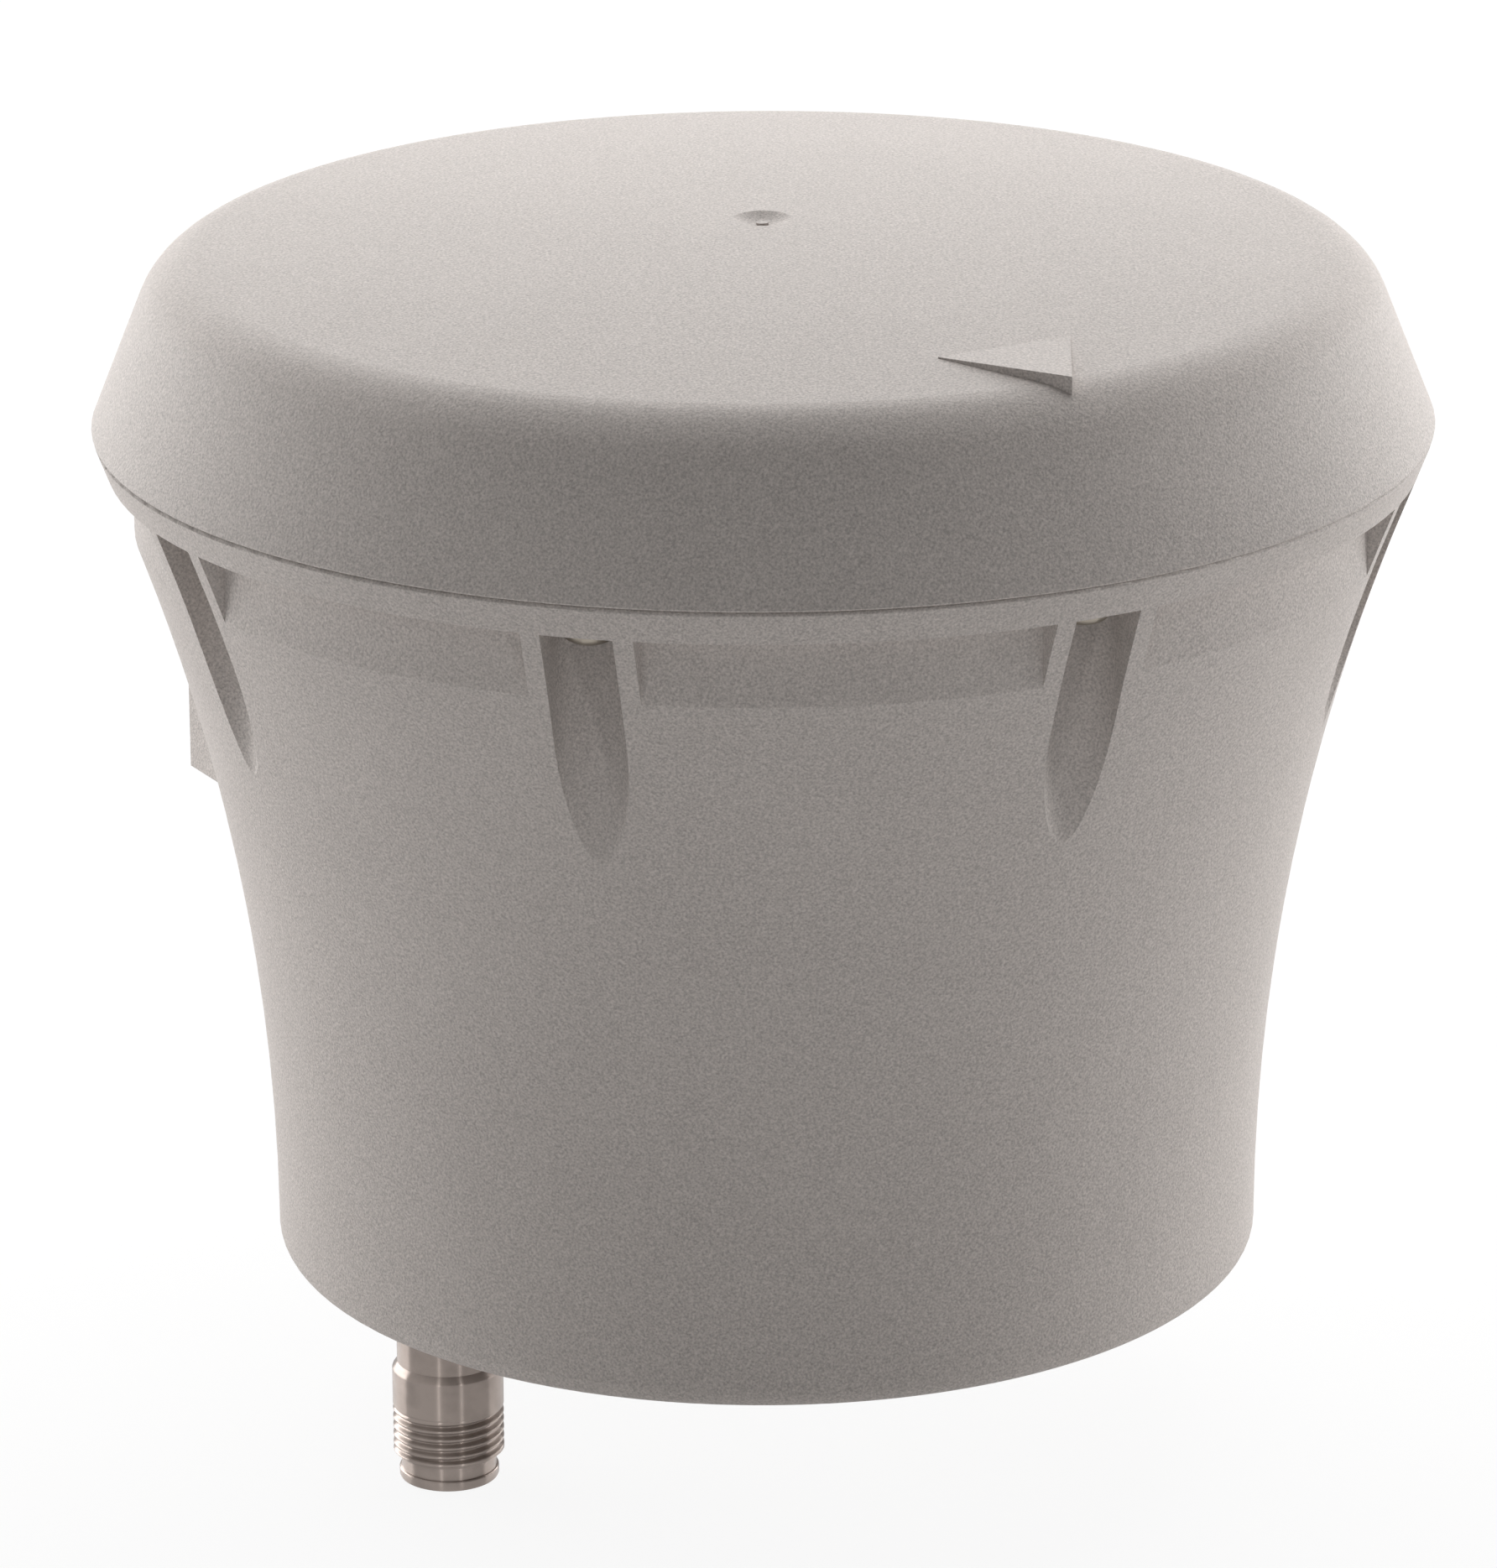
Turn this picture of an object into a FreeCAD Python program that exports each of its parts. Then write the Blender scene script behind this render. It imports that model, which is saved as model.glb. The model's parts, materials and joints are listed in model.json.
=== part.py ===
import FreeCAD, Part
import Sketcher
import math
import os

# Directional antenna: moulded housing, radome lid with a direction arrow, disc radiator stack and
# threaded connector. Millimetres. +Z up the antenna's axis, origin at the middle of the flat base face.
# The arrow points to -Y, the mounting block is at +Y, the connector hangs below the base at -X.

os.makedirs("parts", exist_ok=True)
doc = FreeCAD.newDocument("Antenna")
sheet = doc.addObject("Spreadsheet::Sheet", "Sizes")

drivingSizes = {
    # Housing
    "rimRadius": 66, "bodyHeight": 85.5, "bandHeight": 3.4, "bandStep": 0.1, "bandTaper": 1.4,
    "footRadius": 49.4, "footRise": 3, "footRound": 2, "cavityRound": 1.5, "floorThickness": 3.5,
    "bodyWall": 3, "recessInset": 4,
    "bandRound": 0.3,
    # Screw channels and fins
    "screwCount": 8, "screwInset": 6, "channelWidth": 7, "finThickness": 1.9,
    # Rear mounting block
    "blockHalfWidth": 30, "blockStandOff": 4.2, "blockBottom": 33.7, "blockWall": 3.5, "blockBackWall": 6,
    "blockBossRadius": 6, "blockBossReach": 3, "blockOverlap": 1, "mountSpacingAcross": 40,
    "mountSpacingUp": 28, "mountCentreHeight": 58, "mountInsertRadius": 3.5, "mountInsertBore": 2.5,
    "mountInsertLength": 8,
    # Radome lid
    "lidRise": 19.8, "domeRadius": 504, "shoulderInset": 6.5, "shoulderRound": 7.2, "lidWall": 2.8,
    "lidGap": 0.1, "lidLip": 1.5, "lidLandThickness": 2.5, "lidBossHeight": 7.5, "dimpleRadius": 2.9,
    "dimpleDepth": 0.7, "gateRadius": 0.6, "gateHeight": 0.3, "arrowTip": 57.7, "arrowLength": 12,
    "arrowWidth": 14.4, "arrowTop": 17.8, "arrowDepth": 2.6, "lipRound": 0.15,
    # Lid fixing
    "gasketThickness": 0.8, "gasketInset": 0.3, "gasketLobeMargin": 0.3, "lidInsertRadius": 2.3,
    "lidInsertLength": 5.5, "insertRecess": 0.3, "lidScrewRadius": 1.5, "lidScrewLength": 8,
    "screwClearance": 0.2, "headRadius": 2.85, "headHeight": 1.65, "headFlat": 1.5, "headEdge": 0.4,
    "headRound": 2, "driveAcross": 2, "driveDepth": 0.9,
    # Margins of the shapes that cut, and of those that are sunk into what they join
    "cutMargin": 1, "cutReach": 10, "joinDepth": 1,
    # Reflector cup and feed board
    "boardSeat": 9, "boardInset": 6.9, "boardThickness": 1.6, "bossEdge": 4.5, "bossRadius": 4,
    "bossCount": 4, "bossInsertRadius": 2.1, "bossInsertLength": 4.5, "cupThickness": 1.2,
    "cupWallGap": 2, "cupBend": 3, "cupRimGap": 0.6, "cupHeight": 48, "cupRimWidth": 1.4,
    "cupScrewRadius": 1.5, "cupScrewLength": 6, "cupHeadRadius": 2.8, "cupHeadHeight": 2,
    "canInset": 12.5, "canBack": 14, "canBossGap": 5.87, "canHeight": 3.8, "canWall": 0.4,
    # Disc stack
    "postRadius": 4, "postHeight": 24, "spigotRadius": 2.5, "studRadius": 2, "studSpare": 1,
    "discThickness": 1, "drivenRadius": 27, "lowerDirectorRadius": 24.5, "upperDirectorRadius": 22.5,
    "spacerHeight": 17, "discNutAcross": 7, "discNutHeight": 3.2, "feedOffset": 9,
    "feedPinRadius": 0.65, "feedTail": 1.2, "bushRadius": 2, "bushHeight": 4,
    # Connector
    "connectorInset": 12.7, "tailRadius": 4.7, "tailClearance": 0.2, "tailRise": 8.1,
    "flangeRadius": 7.1, "flangeThickness": 2.2, "sealThickness": 0.8, "neckRadius": 5.05,
    "neckDrop": 7.5, "barrelRadius": 5.55, "barrelDrop": 8.65, "threadDrop": 17.4, "grooveRadius": 4.75,
    "grooveDrop": 18.9, "lipRadius": 4.98, "tipDrop": 19.8, "tipChamfer": 0.3, "socketRadius": 4.05,
    "socketDepth": 8.6, "insulatorRadius": 2.3, "insulatorInset": 4.6, "contactRadius": 0.8,
    "contactReach": 0.6, "contactBore": 0.5, "contactBoreDepth": 4, "pinRadius": 0.6, "pinInset": 0.3,
    "washerRadius": 7.3, "washerThickness": 0.6, "nutAcross": 14, "nutThickness": 3,
}


# A size that carries both its number and the spreadsheet expression that drives it
class Length:
    def __init__(self, value, text):
        self.value = value
        self.text = text

    def __add__(self, other):
        return Length(self.value + length(other).value, "(%s + %s)" % (self.text, length(other).text))

    def __sub__(self, other):
        return Length(self.value - length(other).value, "(%s - %s)" % (self.text, length(other).text))

    def __mul__(self, other):
        return Length(self.value * length(other).value, "(%s * %s)" % (self.text, length(other).text))

    def __truediv__(self, other):
        return Length(self.value / length(other).value, "(%s / %s)" % (self.text, length(other).text))

    def __neg__(self):
        return Length(-self.value, "(0 - %s)" % self.text)


def length(number):
    return number if isinstance(number, Length) else Length(float(number), "%.6f" % number)


def root(square):
    return Length(math.sqrt(square.value), "sqrt(%s)" % square.text)


def lesser(one, other):
    return Length(min(one.value, other.value), "min(%s; %s)" % (one.text, other.text))


def writeSheet():
    sizes = {}
    for row, (name, number) in enumerate(drivingSizes.items(), 1):
        sheet.set("A%d" % row, name)
        sheet.set("B%d" % row, str(number))
        sheet.setAlias("B%d" % row, name)
        sizes[name] = Length(float(number), "Sizes.%s" % name)
    doc.recompute()
    return sizes


size = writeSheet()
zero = length(0)
halfTurn = 180
fullTurn = 360


def newBody(name, several=False):
    body = doc.addObject("PartDesign::Body", name)
    body.Label = name
    body.AllowCompound = several
    return body


def originFeature(body, role):
    return next(item for item in body.Origin.OriginFeatures if item.Role == role)


def drive(item, path, distance):
    if "Sizes." in distance.text:
        item.setExpression(path, distance.text)


def newSketch(body, name, role="XY_Plane", along=zero, lift=zero, turn=0):
    sketch = body.newObject("Sketcher::SketchObject", name)
    sketch.AttachmentSupport = [(originFeature(body, role), "")]
    sketch.MapMode = "FlatFace"
    sketch.AttachmentOffset = FreeCAD.Placement(FreeCAD.Vector(along.value, 0, lift.value),
                                                FreeCAD.Rotation(FreeCAD.Vector(0, 0, 1), turn))
    drive(sketch, ".AttachmentOffset.Base.x", along)
    drive(sketch, ".AttachmentOffset.Base.z", lift)
    return sketch


def hold(sketch, constraint, distance):
    index = sketch.addConstraint(constraint)
    drive(sketch, "Constraints[%d]" % index, distance)


def holdPoint(sketch, item, end, across, up):
    hold(sketch, Sketcher.Constraint("DistanceX", -1, 1, item, end, across.value), across)
    hold(sketch, Sketcher.Constraint("DistanceY", -1, 1, item, end, up.value), up)


def arcBetween(here, there, bend):
    # The shorter arc of radius bend between two points: positive bends turn left on the way, negative right.
    chord = there - here
    side = FreeCAD.Vector(-chord.y, chord.x, 0).normalize()
    rise = math.sqrt(max(bend * bend - chord.Length ** 2 / 4, 0))
    centre = (here + there) * 0.5 + side * (rise if bend > 0 else -rise)
    angles = [math.atan2(point.y - centre.y, point.x - centre.x) for point in (here, there)]
    circle = Part.Circle(centre, FreeCAD.Vector(0, 0, 1), abs(bend))
    if bend > 0:
        return Part.ArcOfCircle(circle, angles[0], angles[1]), (1, 2)
    return Part.ArcOfCircle(circle, angles[1], angles[0]), (2, 1)


def drawOutline(sketch, corners):
    # A closed outline. A corner is (across, up), or (across, up, bend) where an arc of that radius leads
    # on to the next corner, or (across, up, bend, centre) where a half circle does and centre is its
    # middle's place across.
    points = [FreeCAD.Vector(corner[0].value, corner[1].value, 0) for corner in corners]
    first = sketch.GeometryCount
    count = len(corners)
    ends = []
    for step, corner in enumerate(corners):
        here, there = points[step], points[(step + 1) % count]
        if len(corner) == 2:
            sketch.addGeometry(Part.LineSegment(here, there), False)
            ends.append((1, 2))
        else:
            arc, order = arcBetween(here, there, corner[2].value)
            sketch.addGeometry(arc, False)
            ends.append(order)
    for step, corner in enumerate(corners):
        item, following = first + step, first + (step + 1) % count
        sketch.addConstraint(Sketcher.Constraint("Coincident", item, ends[step][1],
                                                 following, ends[(step + 1) % count][0]))
        holdPoint(sketch, item, ends[step][0], corner[0], corner[1])
        if len(corner) == 3:
            bend = corner[2] if corner[2].value > 0 else -corner[2]
            hold(sketch, Sketcher.Constraint("Radius", item, bend.value), bend)
        if len(corner) == 4:
            hold(sketch, Sketcher.Constraint("DistanceX", -1, 1, item, 3, corner[3].value), corner[3])


def drawCircle(sketch, across, up, radius):
    circle = Part.Circle(FreeCAD.Vector(across.value, up.value, 0), FreeCAD.Vector(0, 0, 1), radius.value)
    item = sketch.addGeometry(circle, False)
    holdPoint(sketch, item, 3, across, up)
    hold(sketch, Sketcher.Constraint("Radius", item, radius.value), radius)


def drawRectangle(sketch, left, right, low, high):
    drawOutline(sketch, [(left, low), (right, low), (right, high), (left, high)])


def drawHexagon(sketch, acrossFlats):
    halfSide = acrossFlats / (2 * math.sqrt(3))
    apothem = acrossFlats / 2
    drawOutline(sketch, [(apothem, -halfSide), (apothem, halfSide), (zero, halfSide * 2),
                         (-apothem, halfSide), (-apothem, -halfSide), (zero, -(halfSide * 2))])


def turned(body, name, corners, kind="Revolution", along=zero):
    # A section in the XZ plane turned about the upright line at the distance along from the origin.
    sketch = newSketch(body, name + "Section", "XZ_Plane", along)
    drawOutline(sketch, corners)
    feature = body.newObject("PartDesign::" + kind, name)
    feature.Profile = sketch
    feature.ReferenceAxis = (sketch, ["V_Axis"])
    feature.Angle = fullTurn
    body.Tip = feature
    return feature


def padded(body, name, sketch, height, reverse=False, kind="Pad"):
    feature = body.newObject("PartDesign::" + kind, name)
    feature.Profile = sketch
    feature.Length = height.value
    drive(feature, "Length", height)
    feature.Reversed = reverse
    body.Tip = feature
    return feature


def bored(body, name, sketch, height, reverse=False):
    # A pocket goes against its sketch's normal, or along it where reverse is true.
    return padded(body, name, sketch, height, reverse, "Pocket")


def repeated(body, features, count, name):
    pattern = body.newObject("PartDesign::PolarPattern", name)
    pattern.Originals = features
    pattern.Axis = (originFeature(body, "Z_Axis"), [""])
    pattern.Angle = fullTurn
    pattern.Occurrences = int(count.value)
    drive(pattern, "Occurrences", count)
    body.Tip = pattern
    return pattern


def ringAt(radius, height):
    near = 0.01
    return lambda curve: (abs(curve.Radius - radius.value) < near
                          and abs(curve.Center.z - height.value) < near
                          and math.hypot(curve.Center.x, curve.Center.y) < near)


def rounded(body, name, radius, wanted):
    # Rounds the circular edges of the body so far for which wanted(curve) is true.
    doc.recompute()
    base = body.Tip
    names = ["Edge%d" % place for place, edge in enumerate(base.Shape.Edges, 1)
             if not edge.Degenerated and isinstance(edge.Curve, Part.Circle) and wanted(edge.Curve)]
    feature = body.newObject("PartDesign::Fillet", name)
    feature.Base = (base, names)
    feature.Radius = radius.value
    drive(feature, "Radius", radius)
    body.Tip = feature
    return feature


def turnedPiece(name, corners, along=zero, count=None, turn=0):
    # A piece that is one turned section, or count like ones spaced evenly about the antenna's axis.
    body = newBody(name, count is not None)
    section = turned(body, name + "Body", corners, along=along)
    if count is not None:
        repeated(body, [section], count, name + "Group")
    body.Placement = FreeCAD.Placement(FreeCAD.Vector(), FreeCAD.Rotation(FreeCAD.Vector(0, 0, 1), turn))
    return body


def tube(inner, outer, low, high):
    return [(inner, low), (outer, low), (outer, high), (inner, high)]


# Heights and radii that several pieces share
rim = size["rimRadius"]
joint = size["bodyHeight"]
bandFoot = joint - size["bandHeight"]
bandLow = rim - size["bandTaper"]
bandTop = rim - size["bandStep"]
recess = rim - size["recessInset"]
screwCircle = rim - size["screwInset"]
channelHalf = size["channelWidth"] / 2
finHalf = channelHalf + size["finThickness"]
floorTop = size["floorThickness"]
cavityTop = recess - size["bodyWall"]
landHeight = joint + size["gasketThickness"]
lidHole = size["lidScrewRadius"] + size["screwClearance"]
boardTop = size["boardSeat"] + size["boardThickness"]
cupFloor = boardTop + size["cupThickness"]
cupHole = size["cupScrewRadius"] + size["screwClearance"]
drivenFoot = cupFloor + size["postHeight"]
drivenTop = drivenFoot + size["discThickness"]
lowerDirectorFoot = drivenTop + size["spacerHeight"]
lowerDirectorTop = lowerDirectorFoot + size["discThickness"]
upperDirectorFoot = lowerDirectorTop + size["spacerHeight"]
stackTop = upperDirectorFoot + size["discThickness"]
insulatorFoot = size["insulatorInset"] - size["tipDrop"]
blockBack = rim + size["blockStandOff"]
bossTurn = halfTurn / size["bossCount"].value
connectorPlace = lesser(size["footRadius"] - size["connectorInset"],
                        screwCircle - finHalf - size["washerRadius"])
margin = size["cutMargin"]
sunk = size["joinDepth"]
far = rim + size["cutReach"]

# The flare is one arc, upright where it leaves the foot and ending at the lower edge of the band
flareRise = bandFoot - size["footRise"]
flareSpread = bandLow - size["footRadius"]
flareRadius = (flareRise * flareRise + flareSpread * flareSpread) / (flareSpread * 2)
flareCentre = size["footRadius"] + flareRadius


def flareHeight(radius, inset):
    # The height at which the flare, moved inwards by inset, reaches a radius.
    bend = flareRadius + inset
    reach = flareCentre - radius
    return size["footRise"] + root(bend * bend - reach * reach)


def flareWidth(height, inset):
    # The radius that the flare, moved inwards by inset, has at a height.
    bend = flareRadius + inset
    climb = height - size["footRise"]
    return flareCentre - root(bend * bend - climb * climb)


# The cup keeps its distance from the flare, or from the columns where they stand nearer
cupInset = size["bodyWall"] + size["cupWallGap"]
cupClear = screwCircle - finHalf - size["cupRimGap"] - size["cupRimWidth"]
cupWallFoot = boardTop + size["cupBend"]
cupLow = lesser(flareWidth(cupWallFoot, cupInset), cupClear)
boardRadius = lesser(size["footRadius"] - size["boardInset"], cupClear)
bossCircle = lesser(boardRadius - size["bossEdge"], cupLow - size["cupBend"] - size["cupHeadRadius"])


def drawChannel(sketch, half, reach):
    # A slot that runs in from outside the rim and ends in a half circle about the screw's axis.
    drawOutline(sketch, [(reach, -half), (reach, half), (screwCircle, half, half, screwCircle),
                         (screwCircle, -half)])


def shapeShell():
    body = newBody("housing_shell")
    wall = size["bodyWall"]
    turned(body, "shellBlank", [(zero, zero), (recess, zero), (recess, bandFoot), (bandLow, bandFoot),
                                (bandTop, joint), (zero, joint)])
    # Cavity: parallel to the flare, then upright behind the recess
    turned(body, "shellCavity", [
        (zero, floorTop), (flareWidth(floorTop, wall), floorTop, -(flareRadius + wall)),
        (cavityTop, flareHeight(cavityTop, wall)), (cavityTop, joint + margin),
        (zero, joint + margin)], "Groove")
    rounded(body, "cavityRounding", size["cavityRound"], ringAt(flareWidth(floorTop, wall), floorTop))
    # Columns as wide as a screw channel with a fin on each side, trimmed outside by the flare
    columnSketch = newSketch(body, "columnSketch", lift=floorTop)
    drawChannel(columnSketch, finHalf, bandLow)
    column = padded(body, "column", columnSketch, joint - floorTop)
    repeated(body, [column], size["screwCount"], "columns")
    turned(body, "flareCut", [
        (size["footRadius"], -margin), (far, -margin), (far, bandFoot),
        (bandLow, bandFoot, flareRadius), (size["footRadius"], size["footRise"])], "Groove")
    # Band: its taper is cut once more, because the columns reach past it
    turned(body, "bandCut", [(bandLow, bandFoot), (far, bandFoot), (far, joint + margin),
                             (rim, joint + margin), (bandTop, joint)], "Groove")
    channelSketch = newSketch(body, "channelSketch", lift=floorTop)
    drawChannel(channelSketch, channelHalf, far)
    channel = bored(body, "channel", channelSketch, bandFoot - floorTop, True)
    repeated(body, [channel], size["screwCount"], "channels")
    holeSketch = newSketch(body, "flangeHoleSketch", lift=joint)
    drawCircle(holeSketch, screwCircle, zero, lidHole)
    flangeHole = bored(body, "flangeHole", holeSketch, size["bandHeight"] + margin)
    repeated(body, [flangeHole], size["screwCount"], "flangeHoles")
    # Bosses that carry the feed board and the cup
    bossSketch = newSketch(body, "boardBossSketch", lift=floorTop - sunk, turn=bossTurn)
    drawCircle(bossSketch, bossCircle, zero, size["bossRadius"])
    boss = padded(body, "boardBoss", bossSketch, size["boardSeat"] - floorTop + sunk)
    repeated(body, [boss], size["bossCount"], "boardBosses")
    bossHoleSketch = newSketch(body, "bossHoleSketch", lift=size["boardSeat"], turn=bossTurn)
    drawCircle(bossHoleSketch, bossCircle, zero, size["bossInsertRadius"])
    bossHole = bored(body, "bossHole", bossHoleSketch, size["bossInsertLength"] + size["insertRecess"])
    repeated(body, [bossHole], size["bossCount"], "bossHoles")
    outletSketch = newSketch(body, "connectorHoleSketch", lift=floorTop)
    drawCircle(outletSketch, -connectorPlace, zero, size["tailRadius"] + size["tailClearance"])
    bored(body, "connectorHole", outletSketch, floorTop + margin)
    rounded(body, "footRounding", size["footRound"], ringAt(size["footRadius"], zero))
    rounded(body, "bandRounding", size["bandRound"], ringAt(bandTop, joint))
    return body


def mountPoints():
    across, up, middle = size["mountSpacingAcross"] / 2, size["mountSpacingUp"] / 2, size["mountCentreHeight"]
    return [(across * side, middle + up * level) for side in (-1, 1) for level in (-1, 1)]


def shapeBlock():
    # The mounting block behind the housing: three walls and a top plate, open below, with four bosses.
    body = newBody("housing_block")
    half, reach, wall = size["blockHalfWidth"], blockBack, size["blockWall"]
    inside = reach - size["blockBackWall"]
    wallSketch = newSketch(body, "blockWallSketch", lift=size["blockBottom"])
    drawOutline(wallSketch, [(-half, zero), (wall - half, zero), (wall - half, inside),
                             (half - wall, inside), (half - wall, zero), (half, zero),
                             (half, reach), (-half, reach)])
    padded(body, "blockWalls", wallSketch, joint - size["blockBottom"])
    topSketch = newSketch(body, "blockTopSketch", lift=bandFoot)
    drawRectangle(topSketch, -half, half, zero, reach)
    padded(body, "blockTop", topSketch, size["bandHeight"])
    # What would reach through the housing's wall comes off, so that the block ends inside it
    inset = size["bodyWall"] / 2
    neck = recess - inset
    seam = bandLow - size["blockOverlap"]
    turned(body, "blockTrim", [
        (zero, size["footRise"]), (size["footRadius"] - inset, size["footRise"], -(flareRadius + inset)),
        (neck, flareHeight(neck, inset)), (neck, bandFoot), (seam, bandFoot), (seam, joint + margin),
        (zero, joint + margin)], "Groove")
    bossSketch = newSketch(body, "blockBossSketch", "XZ_Plane", lift=-(inside + sunk))
    holeSketch = newSketch(body, "mountHoleSketch", "XZ_Plane", lift=-reach)
    for across, up in mountPoints():
        drawCircle(bossSketch, across, up, size["blockBossRadius"])
        drawCircle(holeSketch, across, up, size["mountInsertRadius"])
    padded(body, "blockBosses", bossSketch, size["blockBossReach"] + sunk)
    bored(body, "mountHoles", holeSketch, size["blockBackWall"] + size["blockBossReach"] + margin, True)
    return body


def makeHousing():
    housing = doc.addObject("Part::Fuse", "housing_body")
    housing.Label = "housing_body"
    housing.Base = shapeShell()
    housing.Tool = shapeBlock()
    housing.Refine = True
    return housing


def makeLid():
    body = newBody("radome_lid")
    lipFoot = joint + size["lidGap"]
    lipInner = rim - size["lidLip"]
    shoulder, dome, wall = rim - size["shoulderInset"], size["domeRadius"], size["lidWall"]
    lidTop = joint + size["lidRise"]
    cornerHeight = lidTop - dome + root(dome * dome - shoulder * shoulder)
    slope = (rim - shoulder) / (cornerHeight - lipFoot)
    wallAcross = wall * root(slope * slope + 1)
    landTop = landHeight + size["lidLandThickness"]
    innerFoot = rim - slope * (landTop - lipFoot) - wallAcross
    innerShoulder = shoulder + slope * wall - wallAcross
    innerDome = dome - wall
    innerCorner = lidTop - dome + root(innerDome * innerDome - innerShoulder * innerShoulder)
    landInner = cavityTop + size["gasketInset"]
    turned(body, "lidBlank", [
        (zero, landHeight), (lipInner, landHeight), (lipInner, lipFoot), (rim, lipFoot),
        (rim, lidTop + margin), (zero, lidTop + margin)])
    turned(body, "lidCavity", [
        (zero, joint), (landInner, joint), (landInner, landTop), (innerFoot, landTop),
        (innerShoulder, innerCorner, innerDome), (zero, lidTop - wall)], "Groove")
    bossSketch = newSketch(body, "lidBossSketch", lift=landHeight)
    drawCircle(bossSketch, screwCircle, zero, finHalf)
    boss = padded(body, "lidBoss", bossSketch, size["lidBossHeight"])
    repeated(body, [boss], size["screwCount"], "lidBosses")
    # Outside: conical skirt and shallow dome
    turned(body, "lidOutside", [
        (rim, lipFoot), (far, lipFoot), (far, lidTop + margin * 2), (zero, lidTop + margin * 2),
        (zero, lidTop, -dome), (shoulder, cornerHeight)], "Groove")
    rounded(body, "shoulderRounding", size["shoulderRound"], ringAt(shoulder, cornerHeight))
    rounded(body, "insideRounding", size["shoulderRound"] - wall, ringAt(innerShoulder, innerCorner))
    rounded(body, "lipRounding", size["lipRound"], ringAt(rim, lipFoot))
    holeSketch = newSketch(body, "lidInsertHoleSketch", lift=landHeight)
    drawCircle(holeSketch, screwCircle, zero, size["lidInsertRadius"])
    hole = bored(body, "lidInsertHole", holeSketch, size["insertRecess"] + size["lidInsertLength"], True)
    repeated(body, [hole], size["screwCount"], "lidInsertHoles")
    # Dimple with the gate mark at the middle
    dimple, depth = size["dimpleRadius"], size["dimpleDepth"]
    dimpleFloor = lidTop - depth
    turned(body, "dimple", [
        (zero, dimpleFloor, (dimple * dimple + depth * depth) / (depth * 2)), (dimple, lidTop),
        (dimple, lidTop + margin), (zero, lidTop + margin)], "Groove")
    gateSketch = newSketch(body, "gateSketch", lift=dimpleFloor - sunk)
    drawCircle(gateSketch, zero, zero, size["gateRadius"])
    padded(body, "gateMark", gateSketch, size["gateHeight"] + sunk)
    # Direction arrow, level on top and running out into the dome
    arrowSketch = newSketch(body, "arrowSketch", lift=joint + size["arrowTop"] - size["arrowDepth"])
    back = size["arrowLength"] - size["arrowTip"]
    drawOutline(arrowSketch, [(zero, -size["arrowTip"]), (size["arrowWidth"] / 2, back),
                              (-size["arrowWidth"] / 2, back)])
    padded(body, "arrow", arrowSketch, size["arrowDepth"])
    return body


def makeGasket():
    body = newBody("lid_gasket")
    inset = size["gasketInset"]
    ringOutside = rim - size["lidLip"] - inset
    turned(body, "gasketRing", tube(cavityTop + inset, ringOutside, joint, landHeight))
    lobeSketch = newSketch(body, "gasketLobeSketch", lift=joint)
    drawCircle(lobeSketch, screwCircle, zero, ringOutside - size["gasketLobeMargin"] - screwCircle)
    lobe = padded(body, "gasketLobe", lobeSketch, size["gasketThickness"])
    repeated(body, [lobe], size["screwCount"], "gasketLobes")
    holeSketch = newSketch(body, "gasketHoleSketch", lift=landHeight)
    drawCircle(holeSketch, screwCircle, zero, lidHole)
    hole = bored(body, "gasketHole", holeSketch, size["gasketThickness"] + margin)
    repeated(body, [hole], size["screwCount"], "gasketHoles")
    return body


def makeLidScrews():
    body = newBody("lid_screws", True)
    headFoot = bandFoot - size["headHeight"]
    shank = turned(body, "lidScrew", [
        (zero, headFoot), (size["headFlat"], headFoot, size["headRound"]),
        (size["headRadius"], bandFoot - size["headEdge"]), (size["headRadius"], bandFoot),
        (size["lidScrewRadius"], bandFoot), (size["lidScrewRadius"], bandFoot + size["lidScrewLength"]),
        (zero, bandFoot + size["lidScrewLength"])], along=screwCircle)
    driveSketch = newSketch(body, "driveSketch", along=screwCircle, lift=headFoot)
    drawHexagon(driveSketch, size["driveAcross"])
    socket = bored(body, "driveSocket", driveSketch, size["driveDepth"], True)
    repeated(body, [shank, socket], size["screwCount"], "lidScrewGroup")
    return body


def makeLidInserts():
    foot = landHeight + size["insertRecess"]
    return turnedPiece("lid_inserts", tube(size["lidScrewRadius"], size["lidInsertRadius"], foot,
                                           foot + size["lidInsertLength"]), screwCircle, size["screwCount"])


def makeMountInserts():
    body = newBody("mount_inserts", True)
    sketch = newSketch(body, "mountInsertSketch", "XZ_Plane", lift=-blockBack)
    for across, up in mountPoints():
        drawCircle(sketch, across, up, size["mountInsertRadius"])
        drawCircle(sketch, across, up, size["mountInsertBore"])
    padded(body, "mountInsertGroup", sketch, size["mountInsertLength"])
    return body


def drawBossHoles(body, name, lift, depth):
    sketch = newSketch(body, name + "Sketch", lift=lift, turn=bossTurn)
    drawCircle(sketch, bossCircle, zero, cupHole)
    hole = bored(body, name, sketch, depth)
    repeated(body, [hole], size["bossCount"], name + "s")


def drawFeedCircles(sketch, *radii):
    for radius in radii:
        drawCircle(sketch, size["feedOffset"], zero, radius)
        drawCircle(sketch, zero, size["feedOffset"], radius)


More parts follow.
